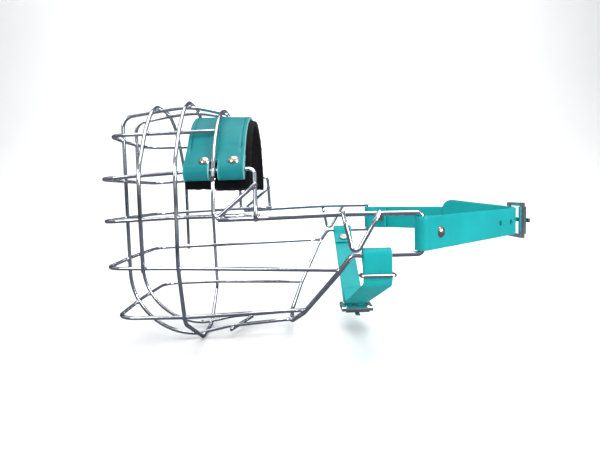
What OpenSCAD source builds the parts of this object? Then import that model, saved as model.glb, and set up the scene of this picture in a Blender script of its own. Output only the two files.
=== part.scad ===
// Basket muzzle for a large dog: welded wire basket, padded nose band,
// buckled neck strap and buckled throat strap.
// Nose towards -X, straps towards +X, dog's left side towards -Y, +Z up.
// A station is a place along X. Name endings: _w width, _t thickness, _d diameter, _r radius.

/* [Wire] */
// Diameter of the basket wire
wire_d = 2.5; // [2.3:0.1:2.6]
// Diameter of the rear frame wire
frame_d = 3; // [2.9:0.1:3.1]
// How far two crossing wires sink into each other where they are welded
weld = 0.12; // [0.1:0.01:0.2]

/* [Basket] */
// Front face of the basket, measured forward from the design station
front_x = 120.3; // [119.5:0.1:121]
// Height of the nose hoop
hoop1_z = 40.7; // [40.2:0.1:41.2]
// Height of the upper cheek hoop
hoop2_z = 14.2; // [13.8:0.1:14.6]
// Height of the middle hoop
hoop3_z = -13; // [-13.4:0.1:-12.8]
// Height of the lower hoop
hoop4_z = -43.8; // [-44.2:0.1:-43.4]
// Height of the jaw hoop
hoop5_z = -75.5; // [-75.9:0.1:-75.1]
// Station of the front arch
arch1_x = -92.5; // [-93:0.1:-92]
// Station of the middle arch
arch2_x = -70.4; // [-71:0.1:-70]
// Station of the rear arch, over the nose pad
arch3_x = -46.6; // [-47:0.1:-46.2]

/* [Rear frame] */
// Half width of the rear frame at the strap loops
loop_w = 87; // [86:0.5:88]
// Station of the upright wires that hold the neck strap
loop_x = 71.6; // [70:0.2:73]
// Height of the top rail at the strap loops
rail_z = -12.4; // [-12.6:0.1:-12.2]
// Height of the lower wire that holds the throat strap
lower_z = -35.2; // [-35.6:0.1:-35]

/* [Nose pad] */
// Width of the nose pad along the muzzle
pad_w = 37; // [34:0.5:38]
// Thickness of the leather
leather_t = 2; // [1.8:0.1:2.2]
// Thickness of the felt lining
lining_t = 3; // [2.5:0.1:3.2]
// Diameter of the rivet caps
rivet_d = 7.6; // [6:0.1:8]

/* [Neck strap] */
// Width of the neck strap
neck_w = 19; // [18:0.1:19.2]
// Thickness of the neck strap
neck_t = 2.2; // [2:0.1:2.4]
// Angle of the neck strap from straight back
neck_angle = 41.5; // [40.5:0.5:42.5]
// Pitch of the punched holes
hole_pitch = 16.5; // [15:0.5:17]
// Diameter of the punched holes
hole_d = 4; // [3.6:0.1:4.4]

/* [Throat strap] */
// Width of the throat strap
throat_w = 16; // [15:0.5:16.5]
// Thickness of the throat strap
throat_t = 2; // [1.8:0.1:2.2]
// Station of the middle of the throat strap
throat_x = 46; // [45.5:0.1:46.5]

/* [Hidden] */
origin = [-25.5, 0, 102.8];               // moves the model onto its base centre

steel = [0.80, 0.82, 0.85];
teal = [0.00, 0.62, 0.65];
nickel = [0.78, 0.76, 0.70];
black = [0.03, 0.03, 0.03];

wire_sides = 12;                          // sides round a wire
wire_pitch = wire_d - weld;               // spacing of welded basket wires
frame_pitch = (wire_d + frame_d)/2 - weld; // spacing of a basket wire on the frame

// ---------- points and lines ----------
function unit(v) = v / norm(v);
function rev(list) = [for (i = [len(list) - 1:-1:0]) list[i]];
function xyz(p) = [p[0], p[1], p[2]];
function across(p) = [p[0], -p[1]];       // plan point moved to the other side
// A run of wire corners seen in the mirror plane y = 0, in reverse order
function mirrored(run) = rev([for (p = run) [p[0], -p[1], p[2], p[3]]]);
function both(run) = concat(run, mirrored(run));
function arc(centre, radius, from, to, steps) = [for (i = [0:steps])
    let (g = from + (to - from)*i/steps) centre + radius*[cos(g), sin(g)]];

// Plan path moved sideways, to the left of its direction for a positive distance
function offset_line(path, distance) = let (last = len(path) - 1) [for (i = [0:last])
    let (
        ahead = i == last ? [0, 0] : unit(path[i + 1] - path[i]),
        behind = i == 0 ? [0, 0] : unit(path[i] - path[i - 1]),
        dir = unit(ahead + behind))
    path[i] + [-dir[1], dir[0]]*distance];
// Outline of a strip of a given thickness that follows a path
function strip(path, thick) =
    concat(offset_line(path, thick/2), rev(offset_line(path, -thick/2)));
// [point, direction] at a length along a path
function along(path, length, i = 0) = let (piece = path[i + 1] - path[i])
    length <= norm(piece) || i == len(path) - 2
        ? [path[i] + unit(piece)*length, unit(piece)]
        : along(path, length - norm(piece), i + 1);

// ---------- bent wire ----------
// Centre line as [point, direction] pairs. Every corner is [x, y, z, bend radius];
// the two ends need no radius.
function centre_line(corners) = let (last = len(corners) - 1) concat(
    [[xyz(corners[0]), unit(xyz(corners[1]) - xyz(corners[0]))]],
    [for (i = [1:last - 1]) let (
        corner = xyz(corners[i]),
        bend_r = corners[i][3],
        before = unit(corner - xyz(corners[i - 1])),
        after = unit(xyz(corners[i + 1]) - corner),
        turn = acos(max(-1, min(1, before*after))),
        outward = -cross(unit(cross(before, after)), before),
        centre = corner - before*(bend_r*tan(turn/2)) - outward*bend_r,
        steps = max(2, ceil(turn/12)))
        for (j = [0:steps]) let (g = turn*j/steps)
            [centre + (outward*cos(g) + before*sin(g))*bend_r, before*cos(g) - outward*sin(g)]],
    [[xyz(corners[last]), unit(xyz(corners[last]) - xyz(corners[last - 1]))]]);
// Normals carried along the line without twist
function carried(line, i, normal) = i == len(line) ? [] :
    let (dir = line[i][1], next = unit(normal - dir*(normal*dir)))
    concat([next], carried(line, i + 1, next));
function any_normal(dir) = unit(cross(dir, abs(dir[2]) < 0.8 ? [0, 0, 1] : [0, 1, 0]));

// Round wire swept along its centre line; ring joins the last section to the first.
module wire(corners, diameter, ring = false) {
    line = centre_line(corners);
    normals = carried(line, 0, any_normal(line[0][1]));
    count = len(line);
    n = wire_sides;
    radius = diameter/2*sqrt(2*PI/(n*sin(360/n))); // sections hold the round wire's area
    points = [for (i = [0:count - 1]) let (binormal = cross(line[i][1], normals[i]))
        for (j = [0:n - 1])
            line[i][0] + radius*(normals[i]*cos(360*j/n) + binormal*sin(360*j/n))];
    sides = [for (i = [0:count - (ring ? 1 : 2)]) for (j = [0:n - 1])
        let (i2 = (i + 1)%count, j2 = (j + 1)%n)
        [i*n + j, i2*n + j, i2*n + j2, i*n + j2]];
    caps = ring ? [] : [
        [for (j = [0:n - 1]) j],
        [for (j = [n - 1:-1:0]) (count - 1)*n + j]];
    polyhedron(points, concat(sides, caps), convexity = 8);
}

// ---------- basket wires ----------
// Left run of corners, then a front corner at a half width and height, then a bowed front
module hoop(run, half_w, z, corner_r, front = front_x) {
    left = concat(run, [[-front + 2.4, -half_w, z, corner_r]]);
    wire(concat(left, [[-front, 0, z, 260]], mirrored(left)), wire_d);
}

module hoop_1_nose() color(steel) hoop(
    [[arch3_x + 1.4, -45.5, hoop1_z]],
    half_w = 39.6, z = hoop1_z - 0.6, corner_r = 15);

module hoop_2_cheek() color(steel) hoop([
    [-21, -81.2, -15],
    [-21.9, -69.4, hoop2_z + 0.9, 4],
    [-69.6, -58.8, hoop2_z + 0.2, 50]],
    half_w = 58.2, z = hoop2_z - 2.6, corner_r = 13);

module hoop_3_middle() color(steel) hoop([
    [-19.5, -76.7, -11.85],
    [-43, -69.7, -12.35, 60],
    [-69.2, -60.3, hoop3_z + 0.1, 30]],
    half_w = 57.6, z = hoop3_z - 1.7, corner_r = 13);

module hoop_4_lower() color(steel) hoop([
    [24.6, -84.3, -43.6],
    [-70.2, -62.3, hoop4_z, 200]],
    half_w = 54, z = hoop4_z - 0.2, corner_r = 13);

module hoop_5_jaw() color(steel) hoop([
    [6.2, -47.2, -75.6],
    [-68.4, -57.8, hoop5_z, 90]],
    half_w = 55, z = hoop5_z, corner_r = 13, front = 114.9);

// Lengthwise wire over the muzzle, down the front and back under the jaw.
// side is -1 for left and 1 for right, here and below.
module centre_wire(side) {
    face_x = -front_x + 2.75;
    wire([
        [arch3_x + 1.6, 7.8*side, 57.4],
        [arch2_x, 12*side, 63.0, 60],
        [arch1_x, 11.2*side, 60.0, 60],
        [face_x, 13.3*side, 55.8, 8.5],
        [face_x, 13.6*side, -99.2, 46],
        [-70, 14.4*side, -99.0, 40],
        [-48, 13.2*side, -94.6, 60],
        [-3.9, 11.4*side, -91.5]], wire_d);
}
module centre_wire_left() color(steel) centre_wire(-1);
module centre_wire_right() color(steel) centre_wire(1);

module arch_front() color(steel) wire(both([
    [arch1_x, -58.45 - wire_pitch, hoop4_z - 2.2],
    [arch1_x, -59.05 - wire_pitch, hoop3_z - 0.6, 90],
    [arch1_x, -61.3, 15.5, 30],
    [arch1_x, -44.3, 41.6, 30],
    [arch1_x, -31, 55.2, 30],
    [arch1_x, -15, 62.5, 20]]), wire_d);

// Closed ring round the muzzle, starting at the bottom
module arch_middle() color(steel) wire(both([
    [-66.6, -1, -100.9],
    [-66.6, -17, -100.9, 9],
    [-68.4, -60.1, -79, 9],
    [-70.2, -64.9, -42, 60],
    [arch2_x, -62.3, hoop3_z + 6, 90],
    [arch2_x, -61.7, 19.5, 34],
    [arch2_x, -46.7, 41.9, 30],
    [arch2_x, -31, 57.4, 30],
    [arch2_x, -14, 65.3, 20]]), wire_d, ring = true);

// The rear arch is a round bow about [0, bow_z]
bow_z = -11.4;
bow_r = 71.3;
bow_step = 24.2;                          // angle between the bow's corners
bow_corner_r = bow_r/cos(bow_step/2);     // corners lie outside the arc
function bow(radius, g) = [radius*sin(g), bow_z + radius*cos(g)];
module arch_rear() color(steel) wire(both(concat(
    [[-20.6, -75.6, 6.4], [arch3_x, -71.3, -15.4, 2.6], [arch3_x, -69.6, 5, 60]],
    [for (i = [2.5, 1.5, 0.5]) let (corner = bow(bow_corner_r, i*bow_step))
        [arch3_x, -corner[0], corner[1], bow_r - 2]])), wire_d);

module rear_frame() color(steel) wire(both([
    [-43.5, -71.45, -14.3],
    [-12, -81.2, -13.35, 70],
    [26, -84.4, -12.2, 120],
    [loop_x, -loop_w, rail_z, 3],
    [loop_x, -loop_w, lower_z, 3],
    [32.4, -loop_w, lower_z, 5],
    [24.2, -84.6, -46, 9],
    [5.6, -48, -77.2, 12],
    [-2.6, -15, -91.6, 12]]), frame_d);

module v_brace(side) wire([
    [27.4, (84.3 + frame_pitch)*side, -10.6],
    [33.0, (loop_w + frame_pitch - 0.1)*side, -36.6, 2.6],
    [48.4, (85.5 + frame_pitch)*side, -10.8]], wire_d);
module v_brace_left() color(steel) v_brace(-1);
module v_brace_right() color(steel) v_brace(1);

module bottom_cross_wire() color(steel) wire([
    [-46.6, -15.5, -94.5 - wire_pitch],
    [-40.5, 0, -94.0 - wire_pitch, 80],
    [-34.2, 14.6, -93.4 - wire_pitch]], wire_d);

// ---------- rivets ----------
module rivet_cap(diameter, height) {
    dome_r = diameter*diameter/(8*height)*1.12;
    intersection() {
        cylinder(d = diameter, h = height, $fn = 40);
        translate([0, 0, height - dome_r]) sphere(r = dome_r, $fn = 60);
    }
}
module rivet_back(post_z, post_h, washer_z) {
    translate([0, 0, post_z]) cylinder(d = 3, h = post_h, $fn = 24);
    translate([0, 0, washer_z]) cylinder(d = 6.6, h = 0.9, $fn = 36);
}

// ---------- nose pad ----------
// Section points are [distance from the mid plane, height].
pad_flare = 0.2216;                       // the cheek hoop widens towards the rear
fold_c = [63.9, 14.75];                   // cheek hoop centre at the rear arch station
fold_mid_r = wire_d/2 + 0.5 + leather_t/2; // leather's middle round the hoop's centre
fold_drop = 2.2;                          // the fold hangs this far below the hoop
leather_mid_r = 67.2 - leather_t/2;       // middle of the leather about the bow centre
straight_from = 52;                       // bow angle where the leather runs straight
side_slope = 42.8;                        // slope of that straight side
rivet_x = [-5.6, 12.4];                   // from the rear arch station
rivet_run = 13.5;                         // rivets' distance down the straight side

// Section point placed on one side, x away from the rear arch station
function station(p, x, side) = let (lean = pad_flare*pow(min(1, p[0]/50), 3))
    [arch3_x + x, side*(p[0] + x*lean), p[1]];
// Point on the straight side: a run down the slope and a distance out from it
function on_side(run, out) = bow(leather_mid_r, straight_from)
    + run*[cos(side_slope), -sin(side_slope)]
    + out*[sin(side_slope), cos(side_slope)];

// Sheet between an outer and an inner run of section points, from x0 to x1
module sheet(outer, inner, x0, x1) {
    last = len(outer) - 1;
    rows = concat([for (i = [last:-1:1]) [i, -1]], [for (i = [0:last]) [i, 1]]);
    count = len(rows);
    points = [for (row = rows) let (p = outer[row[0]], q = inner[row[0]], side = row[1]) each [
        station(p, x0, side), station(p, x1, side),
        station(q, x1, side), station(q, x0, side)]];
    ends = [[0, 1, 2, 3], [4*count - 1, 4*count - 2, 4*count - 3, 4*count - 4]];
    polyhedron(points, concat(ends, [for (i = [0:count - 2]) for (j = [0:3])
        let (k = (j + 1)%4) [4*i + j, 4*i + 4 + j, 4*i + 4 + k, 4*i + k]]));
}

// Middle of the leather from the crest, down the side, round the cheek hoop
// and back up inside
leather_mid = concat(
    [for (g = [0:4:straight_from]) bow(leather_mid_r, g)],
    arc(fold_c, fold_mid_r, 90 - side_slope, 0, 3),
    arc(fold_c - [0, fold_drop], fold_mid_r, 0, -180, 10),
    [[61.15, 15.2], on_side(12.6, -leather_t - 0.1), on_side(5, -leather_t - 0.1)]);
module nose_pad_leather() color(teal) sheet(
    offset_line(leather_mid, leather_t/2), offset_line(leather_mid, -leather_t/2),
    -pad_w/2, pad_w/2);

// The lining's outer radius shrinks between 34 and 54 degrees, clear of the inner leather
function lining_r(g) = 65 - 2.2*(g < 34 ? 0 : g > 54 ? 1 : (g - 34)/20);
lining_tail = [[58.4, 15.5], [59.5, 12.2], [59.8, 8.5], [59.9, 3.8]];
module nose_pad_lining() color(black) sheet(
    concat([for (g = [0:4:64]) bow(lining_r(g), g)], lining_tail),
    concat([for (g = [0:4:64]) bow(lining_r(g) - lining_t, g)],
        [for (p = lining_tail) p - [lining_t, 0.6]]),
    -pad_w/2 - 0.8, pad_w/2 + 4);

// Domed caps outside, posts and washers inside
module at_rivets() for (x = rivet_x, side = [-1, 1])
    translate(station(on_side(rivet_run, leather_t/2), x, side))
        rotate([-side*side_slope, 0, 0]) children();
module pad_rivet_caps() color(nickel) at_rivets()
    translate([0, 0, 0.05]) rivet_cap(rivet_d, 1.9);
module pad_rivet_posts() color(nickel) at_rivets()
    rivet_back(post_z = -5, post_h = 5.6, washer_z = -5.6);

// ---------- straps ----------
// Local axes of straps and buckles: x outward (back for the neck, down for the throat),
// y from left to right, z across the strap's width.
bar_r = 1.5;                              // buckle wire radius
bar_loop_r = bar_r + 0.15;                // inside radius of a strap end on its buckle bar
eye_r = frame_d/2 + 0.6;                  // inside radius of a strap eye on its wire
eye_trim = 0.03;                          // taken off the eye's outside
rivet_hole_d = 3.4;

// Where the strap's middle leaves an eye at an angle
function eye_exit(centre, angle, thick) =
    centre + (eye_r + thick/2)*[sin(angle), -cos(angle)];
// Straight length from a start to the turn round the middle, and the turn's outermost place
function run_length(start, angle, turn_r) = (-start[1] - turn_r*cos(angle))/sin(angle);
function turn_back(start, angle, turn_r) = start[0]
    + run_length(start, angle, turn_r)*cos(angle) + turn_r*(1 - sin(angle));
// Points after the start: turn at the middle, then straight on to the tail's end, which
// stops short of the mirrored start. far_steps divides the right half of the turn.
function round_middle(start, angle, turn_r, far_steps, tail) = let (
    run = run_length(start, angle, turn_r),
    centre = [turn_back(start, angle, turn_r) - turn_r, 0])
    concat(
        arc(centre, turn_r, angle - 90, 0, 6),
        [for (p = rev(arc(centre, turn_r, angle - 90, 0, far_steps)))
            if (p[1] < -0.01) across(p)],
        [across(start + (run - tail)*[cos(angle), sin(angle)])]);

// Strap eye: plies round a wire, closed a little way along
module eye(centre, angle, thick, length) {
    outer = eye_r + thick - eye_trim;
    inner = -eye_r + thick;
    difference() {
        union() {
            translate(centre) circle(r = outer, $fn = 48);
            translate(centre) rotate(angle) polygon([
                [0, -outer], [length, -outer], [length, inner],
                [length*0.55, inner], [1.5, outer], [0, outer]]);
        }
        translate(centre) circle(r = eye_r, $fn = 48);
    }
}
// Middle line of a strap that starts on its inner ply and turns round the wire
function eye_line(centre, angle, thick, length) = let (
    mid_r = eye_r + thick/2,
    u = [cos(angle), sin(angle)],
    v = [-sin(angle), cos(angle)])
    concat(
        [for (x = [length, length*0.55]) centre + x*u + (-mid_r + thick + 0.1)*v],
        [for (g = [58:13.25:270]) centre + mid_r*(cos(g)*u + sin(g)*v)]);

// Hole through the strap at a [point, direction] pair
module bore_at(place, diameter) translate([place[0][0], place[0][1], 0])
    rotate([0, 0, atan2(place[1][1], place[1][0])]) rotate([90, 0, 0])
        translate([0, 0, -7]) cylinder(d = diameter, h = 14, $fn = 32);

// Left strap: one strip from inside its eye to the tail
module tail_strap(centre, angle, thick, width, eye_length, path)
    translate([0, 0, -width/2]) linear_extrude(width)
        polygon(strip(concat(eye_line(centre, angle, thick, eye_length),
            [for (i = [1:len(path) - 1]) path[i]]), thick));

// Right strap: an eye on the frame, a straight run and a loop round the heel bar
module buckle_strap(centre, angle, thick, width, eye_length, path, heel, rivet_run) difference() {
    union() {
        translate([0, 0, -width/2]) linear_extrude(width) {
            mirror([0, 1]) eye(centre, angle, thick, eye_length);
            polygon(strip(path, thick));
        }
        translate([heel[0], heel[1], -width/2]) linear_extrude(width) difference() {
            circle(r = bar_loop_r + thick, $fn = 48);
            circle(r = bar_loop_r, $fn = 48);
        }
    }
    // slot for the prong
    translate([heel[0] - 8, heel[1] - 6.5, -2.4]) cube([16, 9.9, 4.8]);
    translate([heel[0], heel[1], -20]) cylinder(r = bar_loop_r, h = 40, $fn = 48);
    bore_at(along(path, rivet_run), rivet_hole_d);
}

// Cap outside and post through the plies; slack lets the washer sit further in
module strap_rivet(place, thick, slack) {
    cap_z = thick/2 + 0.05;
    depth = 1.5*thick + slack;
    translate([place[0][0], place[0][1], 0])
        rotate([0, 0, atan2(place[1][1], place[1][0]) - 90]) rotate([0, 90, 0]) {
            translate([0, 0, cap_z]) rivet_cap(7.4, 1.8);
            rivet_back(post_z = -depth - 0.8, post_h = cap_z + depth + 1, washer_z = -depth - 1);
        }
}
module right_rivet(place, thick, slack) mirror([0, 1])
    strap_rivet([for (v = place) across(v)], thick, slack);

// ---------- buckles ----------
// heel and toe are the plan places of the heel bar and the roller bar.
bar_bore_r = bar_r + 0.06;                // inside radius of roller and prong
roll_r = bar_r + 1.06;
module buckle_frame(heel, toe, width) {
    for (p = [heel, toe])
        translate([p[0], p[1], -width/2 - 2]) cylinder(r = bar_r, h = width + 4, $fn = 40);
    for (s = [-1, 1])
        translate([(heel[0] + toe[0])/2, (heel[1] + toe[1])/2, s*(width/2 + 2.2)])
            hull() for (y = [-1, 1]) translate([0, y*(heel[1] - toe[1])/2, -1.2])
                cylinder(r = bar_r + 0.2, h = 2.4, $fn = 32);
}
module buckle_roller(toe, width) translate([toe[0], toe[1], -width/2 - 0.6]) difference() {
    cylinder(r = roll_r, h = width + 1.2, $fn = 48);
    translate([0, 0, -1]) cylinder(r = bar_bore_r, h = width + 4, $fn = 48);
}
module buckle_prong(heel, toe) {
    rest_x = toe[0] + roll_r;             // outermost face of the roller
    difference() {
        union() {
            translate([heel[0], heel[1], -1.8]) cylinder(r = bar_r + 1.3, h = 3.6, $fn = 40);
            translate([0, 0, -1.4]) linear_extrude(2.8) polygon([
                [heel[0] + 0.6, heel[1]], [heel[0] + 2.6, heel[1] + 0.6],
                [rest_x + 2.3, toe[1] + 1.5], [rest_x + 1.5, toe[1] - 3.4],
                [rest_x + 0.3, toe[1] - 3.4], [rest_x + 0.45, toe[1] + 2]]);
        }
        translate([heel[0], heel[1], -3]) cylinder(r = bar_bore_r, h = 6, $fn = 40);
    }
}

// ---------- neck strap ----------
neck_z = (rail_z + lower_z)/2;
neck_turn_r = 22;
neck_eye = [loop_x, -loop_w];
neck_eye_length = 18;
neck_rivet_run = 12.5;                    // rivet's distance along the strap
neck_start = eye_exit(neck_eye, neck_angle, neck_t);
neck_back = turn_back(neck_start, neck_angle, neck_turn_r);
// Length from the left eye to the back
neck_half = run_length(neck_start, neck_angle, neck_turn_r)
    + neck_turn_r*(90 - neck_angle)*PI/180;
neck_heel = [neck_back + 4, 11];
neck_toe = [neck_back + 4, -9];
neck_path_l = concat([neck_start],
    round_middle(neck_start, neck_angle, neck_turn_r, far_steps = 6, tail = 40));
neck_path_r = [across(neck_start), neck_heel + (bar_loop_r + neck_t/2)*[0.55, 0.83]];

module neck_at() translate([0, 0, neck_z]) children();
module neck_strap_left() color(teal) neck_at() difference() {
    tail_strap(neck_eye, neck_angle, neck_t, neck_w, neck_eye_length, neck_path_l);
    for (i = [-2, -1, 1, 2, 3])
        bore_at(along(neck_path_l, neck_half - 6 + i*hole_pitch), hole_d);
    bore_at(along(neck_path_l, neck_rivet_run), rivet_hole_d);
}
module neck_strap_right() color(teal) neck_at() buckle_strap(
    neck_eye, neck_angle, neck_t, neck_w, neck_eye_length,
    neck_path_r, neck_heel, neck_rivet_run);
module neck_rivet_left() color(nickel) neck_at()
    strap_rivet(along(neck_path_l, neck_rivet_run), neck_t, slack = 0.05);
module neck_rivet_right() color(nickel) neck_at()
    right_rivet(along(neck_path_r, neck_rivet_run), neck_t, slack = 0.85);
module neck_buckle_frame() color(steel) neck_at() buckle_frame(neck_heel, neck_toe, neck_w);
module neck_buckle_roller() color(steel) neck_at() buckle_roller(neck_toe, neck_w);
module neck_buckle_prong() color(steel) neck_at() buckle_prong(neck_heel, neck_toe);

// ---------- throat strap ----------
throat_angle_l = 70.4;                    // run of the left half, from straight down
throat_angle_r = 56.8;                    // run of the right half
throat_drop = 12.6;                       // the left half hangs this far before it turns in
throat_bend_r = 5;                        // bend of the left half below its slider
throat_turn_r = 14;
throat_eye = [-lower_z, -loop_w];
throat_rivet_run = 11.5;
throat_exit = eye_exit(throat_eye, 0, throat_t);
throat_bend_c = throat_exit + [throat_drop, throat_bend_r];
throat_start = throat_bend_c + throat_bend_r*[sin(throat_angle_l), -cos(throat_angle_l)];
throat_back = turn_back(throat_start, throat_angle_l, throat_turn_r);
// Length from the left eye to the start of the turn
throat_half = throat_drop + throat_bend_r*throat_angle_l*PI/180
    + run_length(throat_start, throat_angle_l, throat_turn_r);
throat_heel = [throat_back + 3.9, 9];
throat_toe = [throat_back + 3.9, -7.5];
throat_path_l = concat([throat_exit],
    arc(throat_bend_c, throat_bend_r, -90, throat_angle_l - 90, 6),
    round_middle(throat_start, throat_angle_l, throat_turn_r, far_steps = 4, tail = 17));
throat_path_r = [across(eye_exit(throat_eye, throat_angle_r, throat_t)),
    throat_heel + (bar_loop_r + throat_t/2)*[0.83, 0.55]];

module throat_at() translate([throat_x, 0, 0]) rotate([0, 90, 0]) children();
module throat_strap_left() color(teal) throat_at() difference() {
    tail_strap(throat_eye, 0, throat_t, throat_w, 12.2, throat_path_l);
    for (i = [1:3]) bore_at(along(throat_path_l, throat_half - 3 - 14*i), 3.4);
}
module throat_strap_right() color(teal) throat_at() buckle_strap(
    throat_eye, throat_angle_r, throat_t, throat_w, 16,
    throat_path_r, throat_heel, throat_rivet_run);
module throat_rivet_right() color(nickel) throat_at()
    right_rivet(along(throat_path_r, throat_rivet_run), throat_t, slack = 0.4);
// Wire loop that holds the two plies of the left half together
module throat_slider() color(steel) {
    outer_y = -loop_w - eye_r - throat_t - 1.35;
    inner_y = -loop_w - eye_r + throat_t + 1.35;
    half_w = throat_w/2 + 1.4;
    z = lower_z - 11;
    bend_r = 2.2;
    wire([
        [throat_x, outer_y, z],
        [throat_x + half_w, outer_y, z, bend_r],
        [throat_x + half_w, inner_y, z, bend_r],
        [throat_x - half_w, inner_y, z, bend_r],
        [throat_x - half_w, outer_y, z, bend_r],
        [throat_x - 1, outer_y, z]], 1.9, ring = true);
}
module throat_buckle_frame() color(steel) throat_at()
    buckle_frame(throat_heel, throat_toe, throat_w);
module throat_buckle_roller() color(steel) throat_at() buckle_roller(throat_toe, throat_w);
module throat_buckle_prong() color(steel) throat_at() buckle_prong(throat_heel, throat_toe);

translate(origin) hoop_1_nose();
translate(origin) hoop_2_cheek();
translate(origin) hoop_3_middle();
translate(origin) hoop_4_lower();
translate(origin) hoop_5_jaw();
translate(origin) centre_wire_left();
translate(origin) centre_wire_right();
translate(origin) arch_front();
translate(origin) arch_middle();
translate(origin) arch_rear();
translate(origin) rear_frame();
translate(origin) v_brace_left();
translate(origin) v_brace_right();
translate(origin) bottom_cross_wire();
translate(origin) nose_pad_leather();
translate(origin) nose_pad_lining();
translate(origin) pad_rivet_caps();
translate(origin) pad_rivet_posts();
translate(origin) neck_strap_left();
translate(origin) neck_strap_right();
translate(origin) neck_rivet_left();
translate(origin) neck_rivet_right();
translate(origin) neck_buckle_frame();
translate(origin) neck_buckle_roller();
translate(origin) neck_buckle_prong();
translate(origin) throat_strap_left();
translate(origin) throat_strap_right();
translate(origin) throat_slider();
translate(origin) throat_rivet_right();
translate(origin) throat_buckle_frame();
translate(origin) throat_buckle_roller();
translate(origin) throat_buckle_prong();
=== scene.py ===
"""A wire basket muzzle with a leather and felt nose pad, a neck strap and a throat strap.

Lengths are millimetres in the design frame: the nose points to -x, the left side is -y and up
is +z. OFFSET moves a design point to its place over the floor, and MM turns it into metres.
"""
import bpy
import bmesh
import math
import random
from mathutils import Vector, Matrix, noise
from mathutils.kdtree import KDTree


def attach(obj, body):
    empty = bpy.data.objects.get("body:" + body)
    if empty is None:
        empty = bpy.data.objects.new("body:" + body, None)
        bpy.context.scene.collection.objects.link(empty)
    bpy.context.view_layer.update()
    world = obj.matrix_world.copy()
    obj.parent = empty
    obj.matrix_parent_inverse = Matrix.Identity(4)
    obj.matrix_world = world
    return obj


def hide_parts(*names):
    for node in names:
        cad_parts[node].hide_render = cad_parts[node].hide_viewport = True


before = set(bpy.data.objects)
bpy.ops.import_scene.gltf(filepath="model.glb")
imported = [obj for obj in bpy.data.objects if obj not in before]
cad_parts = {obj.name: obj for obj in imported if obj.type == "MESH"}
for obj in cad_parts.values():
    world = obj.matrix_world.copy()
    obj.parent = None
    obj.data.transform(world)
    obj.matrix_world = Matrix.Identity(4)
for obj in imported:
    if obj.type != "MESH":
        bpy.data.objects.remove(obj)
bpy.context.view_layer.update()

OFFSET = Vector((-25.5, 0, 102.8))
MM = 0.001
random.seed(7)    # fixed, so that any random detail added later repeats

# ------------------------------------------------------------------ driving dimensions
WIRE = 2.5                  # diameter of the basket wires
FRAME_WIRE = 3.0            # diameter of the rear frame
WELD_SINK = 0.12            # how far crossing wires sink into each other
WIRE_GAP = WIRE - WELD_SINK                         # centre to centre, wire on wire
FRAME_GAP = (WIRE + FRAME_WIRE)/2 - WELD_SINK       # centre to centre, wire on frame

FRONT_X = -120.3            # foremost point of the hoops
FRONT_ARCH_X, MIDDLE_ARCH_X, REAR_ARCH_X = -92.5, -70.4, -46.6
NOSE_Z, CHEEK_Z, MIDDLE_Z, LOWER_Z, JAW_Z = 40.7, 14.2, -13.0, -43.8, -75.5    # hoops 1 to 5

LOOP_Y, LOOP_X = 87.0, 71.6                   # side loops of the rear frame: half width, rear end
LOOP_TOP_Z, LOOP_BOTTOM_Z = -12.4, -35.2

BOW_Z, BOW_RADIUS = -11.4, 71.3               # arc of the rear arch over the nose
BOW_CORNER = 12.1                             # degrees, half the turn between its corners

EYE_RADIUS = FRAME_WIRE/2 + 0.6               # inside of a strap eye round the frame


# ------------------------------------------------------------------ shader helpers
def new_material(name):
    material = bpy.data.materials.new(name)
    material.use_nodes = True
    tree = material.node_tree
    return material, tree, tree.nodes["Principled BSDF"]


def fill(made, inputs):
    """Set or link a node's inputs, keyed by name or index."""
    for key, value in inputs.items():
        if isinstance(value, bpy.types.NodeSocket):
            made.id_data.links.new(value, made.inputs[key])
        else:
            made.inputs[key].default_value = value


def node(tree, kind, inputs=None, **settings):
    made = tree.nodes.new("ShaderNode" + kind)
    for key, value in settings.items():
        setattr(made, key, value)
    fill(made, inputs or {})
    return made


def object_coords(tree):
    source = node(tree, "TexCoord").outputs["Object"]
    return node(tree, "Mapping", {"Vector": source}).outputs["Vector"]


def noise_texture(tree, coords, scale, detail, roughness=0.5):
    inputs = {"Vector": coords, "Scale": scale, "Detail": detail, "Roughness": roughness}
    return node(tree, "TexNoise", inputs).outputs["Fac"]


def ramp(tree, value, low, low_color, high, high_color):
    made = node(tree, "ValToRGB", {"Fac": value})
    for stop, position, color in zip(made.color_ramp.elements, (low, high),
                                     (low_color, high_color)):
        stop.position = position
        stop.color = (*color, 1)
    return made.outputs["Color"]


def remap(tree, value, low=0.0, high=1.0, from_low=0.0, from_high=1.0):
    inputs = {"Value": value, "From Min": from_low, "From Max": from_high,
              "To Min": low, "To Max": high}
    return node(tree, "MapRange", inputs).outputs["Result"]


def multiply_add(tree, value, factor, addend):
    inputs = {0: value, 1: factor, 2: addend}
    return node(tree, "Math", inputs, operation="MULTIPLY_ADD").outputs["Value"]


def mix_color(tree, factor, first, second):
    inputs = {"Factor": factor, "A": first, "B": (*second, 1)}
    return node(tree, "Mix", inputs, data_type="RGBA").outputs["Result"]


def bump(tree, height, strength, distance):
    inputs = {"Height": height, "Strength": strength, "Distance": distance}
    return node(tree, "Bump", inputs).outputs["Normal"]


# ------------------------------------------------------------------ materials
def metal(name, color, roughness, relief=0.04):
    material, tree, shader = new_material(name)
    coords = object_coords(tree)
    patches = noise_texture(tree, coords, scale=160.0, detail=4.0)
    scratches = noise_texture(tree, coords, scale=900.0, detail=3.0)
    dark = [channel*0.89 for channel in color]
    fill(shader, {
        "Metallic": 1.0,
        "Base Color": ramp(tree, patches, low=0.3, low_color=dark, high=0.62, high_color=color),
        "Roughness": remap(tree, patches, low=roughness*0.7, high=roughness*1.6),
        "Normal": bump(tree, scratches, strength=relief, distance=0.0002)})
    return material


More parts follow.
